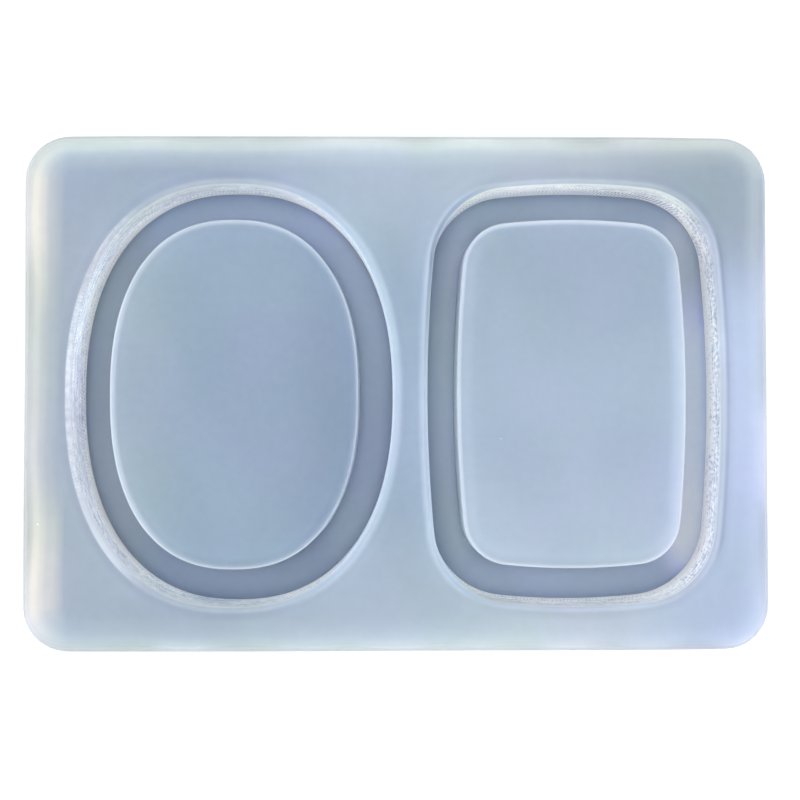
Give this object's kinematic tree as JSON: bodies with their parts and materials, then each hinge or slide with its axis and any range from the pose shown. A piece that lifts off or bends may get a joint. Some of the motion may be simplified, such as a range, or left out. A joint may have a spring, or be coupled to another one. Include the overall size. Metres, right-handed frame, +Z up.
{
  "type": "resin casting mould",
  "caption": "Translucent silicone slab with an oval and a bowed rectangular cavity, each with a raised flat core, for casting rimmed resin dishes.",
  "frame": {"origin": "middle of the underside, on the surface the mould lies on", "axes": "+X along the slab's length, from the oval cavity towards the rectangular one; +Y across it; +Z up, out of the cavities' open side"},
  "size_m": [0.176, 0.122, 0.0175],
  "materials": {
    "silicone": "satin, translucent pale blue-grey silicone"
  },
  "bodies": {
    "root": {"base_sheet": "silicone", "oval_wall": "silicone", "rectangle_wall": "silicone", "oval_core": "silicone", "rectangle_core": "silicone"}
  },
  "joints": []
}
